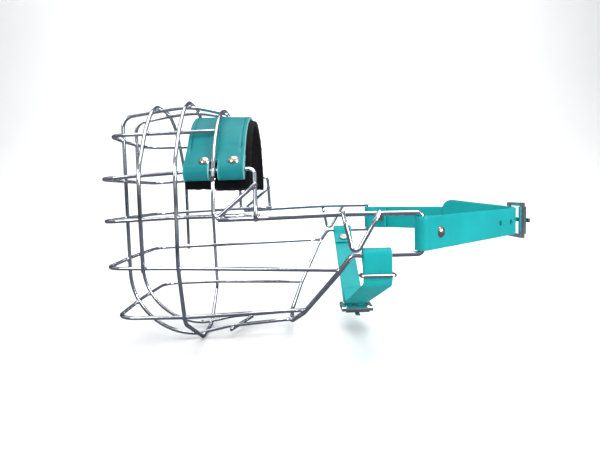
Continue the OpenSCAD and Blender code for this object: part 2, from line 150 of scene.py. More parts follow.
def leather(name, color, deep, light, roughness, grain, relief, coat):
    """Mottled leather with a painted highlight on its raised edges, and a cell grain."""
    material, tree, shader = new_material(name)
    coords = object_coords(tree)
    mottle = noise_texture(tree, coords, scale=38.0, detail=5.0, roughness=0.6)
    body = ramp(tree, mottle, low=0.34, low_color=deep, high=0.66, high_color=color)
    # painted highlight: where pointiness finds a raised edge, the colour turns to the light
    # colour
    pointiness = node(tree, "NewGeometry").outputs["Pointiness"]
    edge_highlight = remap(tree, pointiness, from_low=0.54, from_high=0.66)
    cells = node(tree, "TexVoronoi", {"Vector": coords, "Scale": grain},
                 feature="DISTANCE_TO_EDGE").outputs["Distance"]
    fine = noise_texture(tree, coords, scale=grain*1.7, detail=4.0)
    height = multiply_add(tree, fine, factor=0.5, addend=cells)
    fill(shader, {
        "Base Color": mix_color(tree, edge_highlight, body, light),
        "Normal": bump(tree, height, strength=relief, distance=0.0003),
        "Roughness": remap(tree, mottle, low=roughness*0.85, high=roughness*1.25),
        "Coat Weight": coat,
        "Coat Roughness": 0.25,
        "Specular IOR Level": 0.22})
    return material


def shade_grooves_pale_edges(material):
    """Paint shade into the pad's grooves and pale its cut edges, from the mesh attributes."""
    tree = material.node_tree
    shader = tree.nodes["Principled BSDF"]
    color = shader.inputs["Base Color"].links[0].from_socket
    # the first attribute is painted shade that darkens the pressed grooves, the second the paler
    # cut edges
    for attribute, tint, amount in (("groove_shade", (0.0, 0.05, 0.09), 0.9),
                                    ("pale", (0.42, 0.72, 0.70), 0.75)):
        mask = node(tree, "Attribute", attribute_name=attribute).outputs["Fac"]
        factor = node(tree, "Math", {0: mask, 1: amount}, operation="MULTIPLY").outputs[0]
        color = mix_color(tree, factor, color, tint)
    fill(shader, {"Base Color": color})


def felt(name):
    material, tree, shader = new_material(name)
    coords = object_coords(tree)
    fibres = noise_texture(tree, coords, scale=1500.0, detail=6.0, roughness=0.7)
    lumps = noise_texture(tree, coords, scale=90.0, detail=3.0)
    height = multiply_add(tree, lumps, factor=1.5, addend=fibres)
    fill(shader, {
        "Base Color": ramp(tree, fibres, low=0.3, low_color=(0.002, 0.002, 0.0025),
                           high=0.75, high_color=(0.012, 0.011, 0.013)),
        "Roughness": 0.95,
        "Specular IOR Level": 0.12,
        "Sheen Weight": 0.03,
        "Sheen Roughness": 0.5,
        "Normal": bump(tree, height, strength=0.7, distance=0.0005)})
    return material


def paper(name):
    """Matt backdrop paper that looks dark when mirrored in the metal."""
    material, tree, shader = new_material(name)
    color = (0.90, 0.905, 0.91)
    clouds = noise_texture(tree, object_coords(tree), scale=3.0, detail=2.0)
    fill(shader, {
        "Base Color": ramp(tree, clouds, low=0.3, low_color=[c*0.985 for c in color],
                           high=0.7, high_color=color),
        "Roughness": 0.9,
        "Specular IOR Level": 0.1})
    dark = node(tree, "BsdfDiffuse", {"Color": (0.10, 0.105, 0.12, 1)})
    mirrored = node(tree, "LightPath").outputs["Is Glossy Ray"]
    mix = node(tree, "MixShader", {0: mirrored, 1: shader.outputs[0], 2: dark.outputs[0]})
    fill(tree.nodes["Material Output"], {"Surface": mix.outputs[0]})
    return material


CHROME = metal("chrome_wire", color=(0.70, 0.72, 0.79), roughness=0.12)
WELD = metal("weld_bead", color=(0.74, 0.75, 0.81), roughness=0.2, relief=0.3)
STEEL = metal("buckle_steel", color=(0.78, 0.79, 0.82), roughness=0.16)
NICKEL = metal("nickel_rivet", color=(0.66, 0.60, 0.52), roughness=0.2, relief=0.015)
# light is the colour of the painted highlight on the raised edges
PAD_LEATHER = leather("pad_leather", color=(0.0, 0.235, 0.25), deep=(0.0, 0.185, 0.205),
                      light=(0.01, 0.32, 0.33), roughness=0.5, grain=900, relief=0.16, coat=0.05)
STRAP_TEAL = leather("strap_teal", color=(0.0, 0.37, 0.38), deep=(0.0, 0.315, 0.33),
                     light=(0.01, 0.43, 0.43), roughness=0.45, grain=1300, relief=0.08, coat=0.08)
FELT = felt("black_felt")
shade_grooves_pale_edges(PAD_LEATHER)


# ------------------------------------------------------------------ mesh helpers
def smooth(made):
    for polygon in made.data.polygons:
        polygon.use_smooth = True


def recalc_normals(bm):
    bmesh.ops.recalc_face_normals(bm, faces=bm.faces)


def edit_mesh(made, edit):
    bm = bmesh.new()
    bm.from_mesh(made.data)
    edit(bm)
    bm.to_mesh(made.data)
    bm.free()


def add_object(name, verts, faces, material):
    """Smooth mesh object from vertices in the design frame."""
    mesh = bpy.data.meshes.new(name)
    mesh.from_pydata([tuple((Vector(v) + OFFSET)*MM) for v in verts], [], faces)
    made = bpy.data.objects.new(name, mesh)
    edit_mesh(made, recalc_normals)
    mesh.update()
    smooth(made)
    bpy.context.scene.collection.objects.link(made)
    mesh.materials.append(material)
    return made


def add_modifier(made, kind, **settings):
    modifier = made.modifiers.new(kind.lower(), kind)
    for key, value in settings.items():
        setattr(modifier, key, value)


def add_bevel(made, width, segments, angle):
    add_modifier(made, "BEVEL", width=width*MM, segments=segments, limit_method="ANGLE",
                 angle_limit=math.radians(angle))


def bake(made):
    """Apply all modifiers."""
    bpy.context.view_layer.update()
    depsgraph = bpy.context.evaluated_depsgraph_get()
    mesh = bpy.data.meshes.new_from_object(made.evaluated_get(depsgraph))
    made.modifiers.clear()
    made.data = mesh


def register(made, body, replaced=None):
    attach(made, body)
    if replaced:
        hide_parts(replaced)


def tube_faces(rows, sides, closed=False, base=0):
    """Quads between successive rings of vertices."""
    faces = []
    for i in range(rows if closed else rows - 1):
        row, following = base + i*sides, base + (i + 1) % rows*sides
        for j in range(sides):
            k = (j + 1) % sides
            faces.append((row + j, following + j, following + k, row + k))
    return faces


def cap_faces(rows, sides):
    return [tuple(range(sides)), tuple((rows - 1)*sides + j for j in reversed(range(sides)))]


def grid_faces(rows, columns, skip=lambda row, column: False):
    return [(i*columns + j, i*columns + j + 1, (i + 1)*columns + j + 1, (i + 1)*columns + j)
            for i in range(rows - 1) for j in range(columns - 1) if not skip(i, j)]


# ------------------------------------------------------------------ curve helpers
def clamp(value):
    return min(1.0, max(0.0, value))


def ripple(x, y, z):
    return noise.noise(Vector((x, y, z)))


def heading(angle):
    return Vector((math.cos(math.radians(angle)), math.sin(math.radians(angle))))


def left_of(direction):
    return Vector((-direction.y, direction.x))


def arc(centre, radius, start, end, steps):
    return [centre + radius*heading(start + (end - start)*i/steps) for i in range(steps + 1)]


def mirror_plan(points):
    return [Vector((p.x, -p.y)) for p in points]


def cut_corners(points, rounds):
    for _ in range(rounds):
        cut = [points[0]]
        for a, b in zip(points, points[1:]):
            cut += [a.lerp(b, 0.25), a.lerp(b, 0.75)]
        points = cut + [points[-1]]
    return points


def resample(points, step):
    """Points spaced evenly along a polyline, about one step apart."""
    reach = [0]
    for a, b in zip(points, points[1:]):
        reach.append(reach[-1] + (b - a).length)
    count = max(2, int(round(reach[-1]/step)))
    spaced, j = [], 0
    for i in range(count + 1):
        along = reach[-1]*i/count
        while j < len(reach) - 2 and reach[j + 1] < along:
            j += 1
        share = (along - reach[j])/max(1e-9, reach[j + 1] - reach[j])
        spaced.append(points[j].lerp(points[j + 1], share))
    return spaced


def point_along(path, distance):
    """Point and direction at a distance along a path."""
    for a, b in zip(path, path[1:]):
        length = (b - a).length
        if distance <= length:
            return a.lerp(b, distance/length), (b - a).normalized()
        distance -= length
    return path[-1], (path[-1] - path[-2]).normalized()


# ------------------------------------------------------------------ basket wires
# A wire is a list of (x, y, z, bend radius); its two end points have no radius.
def mirror(points):
    return [(x, -y, z, *radius) for x, y, z, *radius in points]


def both_sides(half):
    return half + mirror(half)[::-1]


def hoop(side, half_width, z, bend, front=FRONT_X):
    """Hoop round the front, from the left side's points."""
    half = side + [(front + 2.4, -half_width, z, bend)]
    return half + [(front, 0, z, 260)] + mirror(half)[::-1]


def bow_corner(turns):
    """Left corner of the rear arch, so many half turns from the top."""
    angle = math.radians(BOW_CORNER*turns)
    reach = BOW_RADIUS/math.cos(math.radians(BOW_CORNER))
    return (REAR_ARCH_X, -reach*math.sin(angle), BOW_Z + reach*math.cos(angle), BOW_RADIUS - 2)


CENTRE_LEFT = [
    (REAR_ARCH_X + 1.6, -7.8, 57.4), (MIDDLE_ARCH_X, -12, 63.0, 60),
    (FRONT_ARCH_X, -11.2, 60.0, 60), (FRONT_X + 2.75, -13.3, 55.8, 8.5),
    (FRONT_X + 2.75, -13.6, -99.2, 46), (-70, -14.4, -99.0, 40), (-48, -13.2, -94.6, 60),
    (-3.9, -11.4, -91.5)]
BRACE_LEFT = [(27.4, -84.3 - FRAME_GAP, -10.6), (33.0, -LOOP_Y - FRAME_GAP + 0.1, -36.6, 2.6),
              (48.4, -85.5 - FRAME_GAP, -10.8)]
WIRES = {
    "hoop_1_nose": hoop([(REAR_ARCH_X + 1.4, -45.5, NOSE_Z)], 39.6, NOSE_Z - 0.6, 15),
    "hoop_2_cheek": hoop([
        (-21, -81.2, -15), (-21.9, -69.4, CHEEK_Z + 0.9, 4), (-69.6, -58.8, CHEEK_Z + 0.2, 50)],
        58.2, CHEEK_Z - 2.6, 13),
    "hoop_3_middle": hoop([
        (-19.5, -76.7, -11.85), (-43, -69.7, -12.35, 60), (-69.2, -60.3, MIDDLE_Z + 0.1, 30)],
        57.6, MIDDLE_Z - 1.7, 13),
    "hoop_4_lower": hoop([(24.6, -84.3, -43.6), (-70.2, -62.3, LOWER_Z, 200)],
                         54, LOWER_Z - 0.2, 13),
    "hoop_5_jaw": hoop([(6.2, -47.2, -75.6), (-68.4, -57.8, JAW_Z, 90)], 55, JAW_Z, 13,
                       front=-114.9),
    "centre_wire_left": CENTRE_LEFT,
    "centre_wire_right": mirror(CENTRE_LEFT),
    "arch_front": both_sides([
        (FRONT_ARCH_X, -58.45 - WIRE_GAP, LOWER_Z - 2.2),
        (FRONT_ARCH_X, -59.05 - WIRE_GAP, MIDDLE_Z - 0.6, 90),
        (FRONT_ARCH_X, -61.3, 15.5, 30), (FRONT_ARCH_X, -44.3, 41.6, 30),
        (FRONT_ARCH_X, -31, 55.2, 30), (FRONT_ARCH_X, -15, 62.5, 20)]),
    "arch_middle": both_sides([
        (-66.6, -1, -100.9), (-66.6, -17, -100.9, 9), (-68.4, -60.1, -79, 9),
        (-70.2, -64.9, -42, 60), (MIDDLE_ARCH_X, -62.3, MIDDLE_Z + 6, 90),
        (MIDDLE_ARCH_X, -61.7, 19.5, 34), (MIDDLE_ARCH_X, -46.7, 41.9, 30),
        (MIDDLE_ARCH_X, -31, 57.4, 30), (MIDDLE_ARCH_X, -14, 65.3, 20)]),
    "arch_rear": both_sides([
        (-20.6, -75.6, 6.4), (REAR_ARCH_X, -71.3, -15.4, 2.6), (REAR_ARCH_X, -69.6, 5, 60),
        bow_corner(5), bow_corner(3), bow_corner(1)]),
    "rear_frame": both_sides([
        (-43.5, -71.45, -14.3), (-12, -81.2, -13.35, 70), (26, -84.4, -12.2, 120),
        (LOOP_X, -LOOP_Y, LOOP_TOP_Z, 3), (LOOP_X, -LOOP_Y, LOOP_BOTTOM_Z, 3),
        (32.4, -LOOP_Y, LOOP_BOTTOM_Z, 5), (24.2, -84.6, -46, 9), (5.6, -48, -77.2, 12),
        (-2.6, -15, -91.6, 12)]),
    "v_brace_left": BRACE_LEFT,
    "v_brace_right": mirror(BRACE_LEFT),
    "bottom_cross_wire": [(-46.6, -15.5, -94.5 - WIRE_GAP), (-40.5, 0, -94.0 - WIRE_GAP, 80),
                          (-34.2, 14.6, -93.4 - WIRE_GAP)],
}


def wire_diameter(name):
    return FRAME_WIRE if name == "rear_frame" else WIRE


def centre_line(points):
    """(point, tangent) pairs along a wire, with each corner rounded to its bend radius."""
    corners = [Vector(p[:3]) for p in points]
    line = [(corners[0], (corners[1] - corners[0]).normalized())]
    for i in range(1, len(corners) - 1):
        before = (corners[i] - corners[i - 1]).normalized()
        after = (corners[i + 1] - corners[i]).normalized()
        turn, radius = before.angle(after), points[i][3]
        if turn < 1e-4:
            continue
        outward = -before.cross(after).normalized().cross(before)
        centre = corners[i] - before*radius*math.tan(turn/2) - outward*radius
        steps = max(3, math.ceil(math.degrees(turn)/6.0))
        for j in range(steps + 1):
            cos, sin = math.cos(turn*j/steps), math.sin(turn*j/steps)
            line.append((centre + (outward*cos + before*sin)*radius, before*cos - outward*sin))
    line.append((corners[-1], (corners[-1] - corners[-2]).normalized()))
    return line


def sweep(name, line, diameter, closed, sides=18, spacing=12):
    """Round wire along a centre line, with eased ends unless it is closed."""
    radius = diameter/2
    sections = [(*line[0], 1.0)]          # centre, tangent, share of the full radius
    for (start, start_tangent), (end, end_tangent) in zip(line, line[1:]):
        extra = int((end - start).length//spacing)      # more sections on long straights
        for j in range(1, extra + 1):
            share = j/(extra + 1)
            sections.append((start.lerp(end, share),
                             start_tangent.lerp(end_tangent, share).normalized(), 1.0))
        sections.append((end, end_tangent, 1.0))
    if not closed:
        easing = ((0.22, 0.55), (0.12, 0.86))           # overrun and size, in radii
        (start, first, _), (end, last, _) = sections[0], sections[-1]
        sections = ([(start - first*radius*over, first, size) for over, size in easing]
                    + sections
                    + [(end + last*radius*over, last, size) for over, size in easing[::-1]])
    normal = Vector((0, 0, 1)) if abs(sections[0][1].z) < 0.8 else Vector((0, 1, 0))
    verts = []
    for centre, tangent, size in sections:
        normal = (normal - tangent*normal.dot(tangent)).normalized()
        binormal = tangent.cross(normal)
        uneven = 1 + 0.012*noise.noise(centre*0.11)
        for j in range(sides):
            angle = 2*math.pi*j/sides
            spoke = normal*math.cos(angle) + binormal*math.sin(angle)
            verts.append(centre + spoke*radius*size*uneven)
    faces = tube_faces(len(sections), sides, closed)
    if not closed:
        faces += cap_faces(len(sections), sides)
    return add_object(name, verts, faces, CHROME)


def build_wires():
    """Build every wire and return its centre line as closely spaced points, by name."""
    traces = {}
    for name, points in WIRES.items():
        line = centre_line(points)
        made = sweep("wire_" + name, line, wire_diameter(name), closed=name == "arch_middle")
        register(made, "basket", name)
        traces[name] = trace = []
        for (start, _), (end, _) in zip(line, line[1:]):
            steps = max(1, int((end - start).length/0.8))
            trace += [start.lerp(end, j/steps) for j in range(steps)]
    return traces


def find_crossings(traces, slack=0.35, spacing=9):
    """(middle, gap vector) wherever two wires touch, at least one spacing apart per pair."""
    trees = {}
    for name, trace in traces.items():
        trees[name] = KDTree(len(trace))
        for i, point in enumerate(trace):
            trees[name].insert(point, i)
        trees[name].balance()
    names, crossings = list(traces), []
    for i, first in enumerate(names):
        for second in names[i + 1:]:
            limit = (wire_diameter(first) + wire_diameter(second))/2 + slack
            hits = []
            for point in traces[first]:
                nearest, _, distance = trees[second].find(point)
                if distance < limit:
                    hits.append((distance, (point + nearest)/2, nearest - point))
            while hits:
                _, middle, gap = min(hits, key=lambda hit: hit[0])
                crossings.append((middle, gap))
                hits = [hit for hit in hits if (hit[1] - middle).length > spacing]
    return crossings


def build_weld_beads(crossings, around=14, bands=9, radius=1.75, half_height=1.35):
    """A small flattened bead on every crossing, squashed along the gap."""
    verts, faces = [], []
    for centre, gap in crossings:
        axis = gap.normalized() if gap.length > 0.3 else Vector((0, 0, 1))
        turn = axis.to_track_quat("Z", "Y")
        faces += tube_faces(bands + 1, around, base=len(verts))
        for i in range(bands + 1):
            polar = math.pi*i/bands
            for j in range(around):
                angle = 2*math.pi*j/around
                ball = Vector((math.sin(polar)*math.cos(angle), math.sin(polar)*math.sin(angle),
                               math.cos(polar)))
                wide = radius*(1 + 0.10*noise.noise(ball*1.7 + centre))
                verts.append(centre + turn @ Vector((ball.x*wide, ball.y*wide,
                                                     ball.z*half_height)))
    beads = add_object("weld_beads", verts, faces, WELD)

    def merge_poles(bm):
        bmesh.ops.remove_doubles(bm, verts=bm.verts, dist=1e-6)
        recalc_normals(bm)

    edit_mesh(beads, merge_poles)
    register(beads, "basket")


build_weld_beads(find_crossings(build_wires()))

# ------------------------------------------------------------------ nose pad
# Pad sections lie across the nose, as 2D points (distance from the middle, z).
FLARE = 0.2216                        # how much the sides spread towards the rear
PAD_RADIUS, PAD_SHEET = 67.2, 2.0     # outside of the leather's bow, and its nominal sheet
FOLD_CENTRE = Vector((63.9, 14.75))
FOLD_RADIUS = WIRE/2 + 0.5            # inside of the fold
FLAP_SLOPE = 42.8                     # degrees below level
GROOVE_X = 16.1                       # pressed groove along either edge
RIVET_X = (-5.6, 12.4)
NOTCH_X = 2.9                         # half width of the notch in the turned-under flap
PAD_EDGE_X = 18.5
PAD_COLUMNS = [                       # x of the leather's columns, from the rear arch
    -18.5, -18.2, -17.3, -16.7, -16.4, -16.1, -15.8, -15.4, -14.2, -12, -9.5, -7.5,
    -5.6, -4.2, -3.3, -2.9, -1.4, 0, 1.4, 2.9, 3.3, 4.2, 5.6, 7.5, 9.5, 11, 12.4, 13.8,
    15.4, 15.8, 16.1, 16.4, 16.7, 17.3, 18.2, 18.5]


def bow(radius, angle):
    """Point of the nose bow, the angle taken from the top."""
    turn = math.radians(angle)
    return Vector((radius*math.sin(turn), BOW_Z + radius*math.cos(turn)))


def pad_point(section, x, side):
    spread = FLARE*min(1, section.x/50)**3
    return Vector((REAR_ARCH_X + x, side*(section.x + x*spread), section.y))


def bow_outward(section):
    return Vector((section.x, section.y - BOW_Z)).normalized()


def pad_rows(count):
    """(section index, side) from the left end over the middle to the right end."""
    return [(i, -1) for i in range(count - 1, 0, -1)] + [(i, 1) for i in range(count)]


def flap_point(along, outward):
    start = bow(PAD_RADIUS - PAD_SHEET/2, 52)
    return start + along*heading(-FLAP_SLOPE) + outward*heading(90 - FLAP_SLOPE)


def leather_section():
    """Half section: over the bow, round the fold and back up inside."""
    mid = FOLD_RADIUS + PAD_SHEET/2
    inside = -PAD_SHEET - 0.12
    outline = [bow(PAD_RADIUS - PAD_SHEET/2, angle) for angle in range(0, 53, 4)]
    outline += arc(FOLD_CENTRE, mid, 90 - FLAP_SLOPE, 0, 4)
    outline += arc(FOLD_CENTRE - Vector((0, 2.2)), mid, 0, -180, 12)
    outline += [Vector((61.15, 15.2)), flap_point(12.6, inside), flap_point(5, inside)]
    return resample(cut_corners(outline, 1), 1.2)


def build_pad_leather():
    section = leather_section()
    fold = next(i for i, p in enumerate(section) if p.x > 58 and p.y < 20.3)
    rivet_point = flap_point(13.5, 0)
    rows = pad_rows(len(section))
    verts, groove_shade, pale = [], [], []
    for i, side in rows:
        point = section[i]
        outer = i < fold + 3
        for x in PAD_COLUMNS:
            off_groove = abs(abs(x) - GROOVE_X)
            waves = (0.14*ripple(x*0.12, i*0.2, side*3.1)
                     + 0.10*ripple(x*0.35, i*0.5, side*1.7))
            lift = waves if outer else waves*0.3
            if off_groove < 0.35 and i < fold - 6:
                lift -= 0.3
            if outer:
                lift += 0.2*(1 - (x/PAD_EDGE_X)**2)     # crowned across the middle
                for rivet_x in RIVET_X:                 # dimpled round the rivets
                    distance = math.hypot(x - rivet_x, (point - rivet_point).length)
                    lift -= 0.45*max(0, 1 - distance/6.5)
            if fold - 9 < i < fold + 1:                 # pressed in over the arch wire
                lift -= 0.35*math.exp(-(x/1.8)**2)
            verts.append(pad_point(point + bow_outward(point)*lift, x, side))
            # painted shade along the pressed grooves, fading out towards the fold
            groove_shade.append(clamp(1 - max(0, off_groove - 0.35)/0.5)*clamp((fold - 7 - i)/4))
            if i > fold and abs(abs(x) - NOTCH_X) < 0.05:
                pale.append(1.0)
            else:
                pale.append(0.55 if abs(x) > 18.4 else 0.0)

    def in_notch(row, column):
        middle = (PAD_COLUMNS[column] + PAD_COLUMNS[column + 1])/2
        return max(rows[row][0], rows[row + 1][0]) > fold and abs(middle) < NOTCH_X + 0.05

    def drop_loose(bm):
        loose = [v for v in bm.verts if not v.link_faces]
        bmesh.ops.delete(bm, geom=loose, context="VERTS")

    faces = grid_faces(len(rows), len(PAD_COLUMNS), skip=in_notch)
    pad = add_object("pad_leather", verts, faces, PAD_LEATHER)
    # store the painted groove shade and the pale cut edges for the material
    for name, values in (("groove_shade", groove_shade), ("pale", pale)):
        pad.data.attributes.new(name, "FLOAT", "POINT").data.foreach_set("value", values)
    edit_mesh(pad, drop_loose)
    add_modifier(pad, "SOLIDIFY", thickness=1.9*MM, offset=0.0, use_even_offset=True)
    add_bevel(pad, width=0.45, segments=3, angle=50)
    bake(pad)
    smooth(pad)
    register(pad, "basket", "nose_pad_leather")


FELT_FRONT, FELT_REAR, FELT_PITCH = -19.2, 22.3, 1.25     # felt columns, x from the rear arch
CLOTH = dict(quality=8, mass=0.15, vertex_group_mass="pin", pin_stiffness=1.0,
             tension_stiffness=8, compression_stiffness=8, shear_stiffness=3,
             bending_stiffness=0.4, air_damping=2)
CLOTH_FRAMES = 16
MAX_SAG = 1.6


def felt_section():
    """Half section of the felt, drawn in slightly down the sides."""
    outline = [bow(65 - 2.2*clamp((angle - 34)/20) - 1.55, angle) for angle in range(0, 65, 4)]
    outline += [Vector(p) for p in ((56.9, 15.3), (57.9, 12.1), (58.3, 8.4), (58.4, 3.9))]
    return resample(cut_corners(outline, 2), 1.6)


def settle(lining, rows, columns, last):
    """Let the free edges of the felt sink under their own weight."""
    scene = bpy.context.scene
    pin = lining.vertex_groups.new(name="pin")
    for row, (i, _) in enumerate(rows):
        for k, x in enumerate(columns):
            weight = 1 - clamp((abs(x) - 15.5)/6.0)
            weight *= 1 - 0.92*clamp((i/last - 0.72)/0.28)
            pin.add([row*len(columns) + k], max(0.03, weight), "REPLACE")
    before = [v.co.copy() for v in lining.data.vertices]
    cloth = lining.modifiers.new("cloth", "CLOTH")
    for key, value in CLOTH.items():
        setattr(cloth.settings, key, value)
    cloth.point_cache.frame_start = 1
    cloth.point_cache.frame_end = CLOTH_FRAMES
    for number in range(1, CLOTH_FRAMES + 1):
        scene.frame_set(number)
    settled = lining.evaluated_get(bpy.context.evaluated_depsgraph_get())
    after = [v.co.copy() for v in settled.to_mesh().vertices]
    settled.to_mesh_clear()
    lining.modifiers.clear()
    scene.frame_set(1)
    farthest = max((b - a).length for a, b in zip(before, after))
    share = min(1.0, MAX_SAG*MM/max(farthest, 1e-9))
    for vertex, a, b in zip(lining.data.vertices, before, after):
        vertex.co = a.lerp(b, share)
    lining.vertex_groups.clear()


def build_pad_lining():
    section = felt_section()
    last = len(section) - 1
    count = int((FELT_REAR - FELT_FRONT)/FELT_PITCH) + 1
    columns = [FELT_FRONT + i*FELT_PITCH for i in range(count)] + [FELT_REAR]
    rows = pad_rows(len(section))
    verts = []
    for i, side in rows:
        point = section[i]
        for x in columns:
            lift = min(0, 0.35*ripple(x*0.16, i*0.22, 5 + side)) - 0.5*(1 - ((x - 1.5)/21)**2)
            place = point + bow_outward(point)*lift
            if i == last:                               # uneven lower edge
                place += Vector((0, 0.5*ripple(x*0.3, 9, side)))
            verts.append(pad_point(place, x, side))
    faces = grid_faces(len(rows), len(columns))
    lining = add_object("pad_felt_lining", verts, faces, FELT)
    settle(lining, rows, columns, last)
    add_modifier(lining, "SOLIDIFY", thickness=2.9*MM, offset=0.0)
    add_bevel(lining, width=0.9, segments=4, angle=50)
    bake(lining)
    smooth(lining)
    register(lining, "basket", "nose_pad_lining")


build_pad_leather()
build_pad_lining()

# ------------------------------------------------------------------ straps
# A strap follows a 2D path (outward, y); its place function adds the position across
# the strap's width and gives the point in the design frame.
STRAP_FILL = 0.96           # modelled share of the nominal thickness
STRAP_EDGE = 0.42           # rounding of the section's corners
BAR_RADIUS = 1.5            # buckle bar that a far strap folds round
NECK_WIDTH, NECK_THICKNESS, NECK_ANGLE, NECK_BEND = 19.0, 2.2, 41.5, 22.0
NECK_Z = (LOOP_TOP_Z + LOOP_BOTTOM_Z)/2
THROAT_WIDTH, THROAT_THICKNESS, THROAT_ANGLE, THROAT_BEND = 16.0, 2.0, 70.4, 14.0
THROAT_X = 46.0
THROAT_FAR_ANGLE = 56.8
THROAT_LEVEL, THROAT_TURN = 12.6, 5.0     # level run past the eye, then radius of the turn


def neck_place(back, y, across):
    return Vector((back, y, NECK_Z + across))


def throat_place(down, y, across):
    return Vector((THROAT_X + across, y, -down))


def to_design(place, outward, y, across):
    """A strap direction or size, as a vector of the design frame."""
    return place(outward, y, across) - place(0, 0, 0)


def crease(made):
    smooth(made)
    made.data.set_sharp_from_angle(angle=math.radians(38))


def cut_with_active(made):
    """Cut the active object out of a strap, then remove it."""
    cutter = bpy.context.object
    add_modifier(made, "BOOLEAN", operation="DIFFERENCE", object=cutter, solver="EXACT")
    bake(made)
    bpy.data.objects.remove(cutter, do_unlink=True)


def strap_outline(width, thickness):
    """Rounded section as (across, inward) points."""
    half, flat, edge, parts = width/2, thickness/2, STRAP_EDGE, 8
    outline = [(-half, -flat + edge), (-half + edge*0.3, -flat + edge*0.3)]
    outline += [(-half + edge + (width - 2*edge)*i/parts, -flat) for i in range(parts + 1)]
    outline += [(half - edge*0.3, -flat + edge*0.3), (half, -flat + edge)]
    return outline + [(-across, -inward) for across, inward in outline]


def ribbon(name, path, width, thickness, place, holes=(), lift=None, round_tail=False):
    """Strap along a path. Holes are (centre, axis, radius); lift gives the shift across
    the width from the distance to the tail end."""
    points = resample(path, 1.1)
    count, half = len(points), width/2
    outline = strap_outline(width, thickness*STRAP_FILL)
    left = sum((b - a).length for a, b in zip(points, points[1:]))
    verts = []
    for i, point in enumerate(points):
        if i:
            left -= (point - points[i - 1]).length
        along = (points[min(i + 1, count - 1)] - points[max(i - 1, 0)]).normalized()
        inward = left_of(along)*(0.75 if i in (0, count - 1) else 1)
        narrow = 1.0
        if round_tail and left < half:
            narrow = max(0.12, math.sqrt(max(0, 1 - ((half - left)/half)**2)))
        shift = lift(left) if lift else 0
        for across, depth in outline:
            spot = point + inward*depth
            verts.append(place(spot.x, spot.y, across*narrow + shift))
    faces = tube_faces(count, len(outline)) + cap_faces(count, len(outline))
    strap = add_object(name, verts, faces, STRAP_TEAL)
    for centre, axis, radius in holes:
        bpy.ops.mesh.primitive_cylinder_add(
            vertices=32, radius=radius*MM, depth=9*MM, location=(centre + OFFSET)*MM,
            rotation=axis.to_track_quat("Z", "Y").to_euler())
        cut_with_active(strap)
    crease(strap)
    return strap


def eye_path(wire, angle, thickness, length):
    """From the inner ply's end, round the wire, to the start of the outer ply."""
    middle = EYE_RADIUS + thickness/2
    along = heading(angle)
    inner = [(length, thickness - middle), (length*0.62, thickness - middle),
             (length*0.42, thickness - middle + 0.7), (2.2, middle - 0.5)]
    ply = [wire + along*x + left_of(along)*y for x, y in inner]
    return cut_corners(ply, 2) + arc(wire, middle, angle + 80, angle + 280, 20)


def cross_behind(start, angle, bend, overlap, tail_steps):
    """Straight from start, a bend round to the middle, and the mirrored tail, which runs
    back along the other side for the overlap. Also gives the straight's length and the
    outermost reach."""
    cos, sin = math.cos(math.radians(angle)), math.sin(math.radians(angle))
    straight = (-start.y - bend*cos)/sin
    reach = start.x + straight*cos + bend*(1 - sin)
    centre = Vector((reach - bend, 0))
    lead = [start] + arc(centre, bend, angle - 90, 0, 10)
    tail = [p for p in reversed(arc(centre, bend, angle - 90, 0, tail_steps)) if p.y < -0.01]
    tail.append(start + (straight - overlap)*heading(angle))
    return lead + mirror_plan(tail), straight, reach


def hole_at(path, distance, place, radius):
    point, along = point_along(path, distance)
    return (place(point.x, point.y, 0), to_design(place, along.y, -along.x, 0), radius)


def build_far_strap(name, wire, angle, thickness, width, bar, toward, place, body, replaced):
    """Right-hand strap: an eye round the frame, then a fold round the buckle bar."""
    radius = BAR_RADIUS + 0.15 + thickness/2
    eye = mirror_plan(eye_path(wire, angle, thickness, 17))
    toward = Vector(toward).normalized()
    touch = bar + radius*toward
    first = math.degrees(math.atan2(toward.y, toward.x))
    path = eye + [eye[-1].lerp(touch, share) for share in (0.25, 0.5, 0.75)]
    path += arc(bar, radius, first, first - 225, 15)
    end, homeward = path[-1], (eye[-1] - touch).normalized()
    path += [end + homeward*2, end + homeward*9]
    strap = ribbon(name, path, width, thickness, place)
    slot = place(bar.x, bar.y - 1.6, 0)                 # slot for the buckle prong
    bpy.ops.mesh.primitive_cube_add(size=1, location=(slot + OFFSET)*MM)
    bpy.context.object.scale = [abs(size)*MM for size in to_design(place, 16, 10, 5)]
    cut_with_active(strap)
    crease(strap)
    register(strap, body, replaced)


def build_neck_straps():
    wire = Vector((LOOP_X, -LOOP_Y))
    start = wire + (EYE_RADIUS + NECK_THICKNESS/2)*heading(NECK_ANGLE - 90)
    path, straight, reach = cross_behind(start, NECK_ANGLE, NECK_BEND, overlap=40, tail_steps=10)
    middle = straight + NECK_BEND*math.radians(90 - NECK_ANGLE)
    holes = [hole_at(path, middle - 6 + i*16.5, neck_place, radius=2.0)
             for i in (-2, -1, 1, 2, 3)]
    near = ribbon("neck_strap_near", eye_path(wire, NECK_ANGLE, NECK_THICKNESS, 18) + path[1:],
                  NECK_WIDTH, NECK_THICKNESS, neck_place, holes=holes, round_tail=True,
                  lift=lambda left: 7.0*max(0, 1 - left/60)**1.15)
    register(near, "neck_left", "neck_strap_left")
    build_far_strap("neck_strap_far", wire, NECK_ANGLE, NECK_THICKNESS, NECK_WIDTH,
                    bar=Vector((reach + 4, 11)), toward=(0.55, 0.83), place=neck_place,
                    body="neck_right", replaced="neck_strap_right")


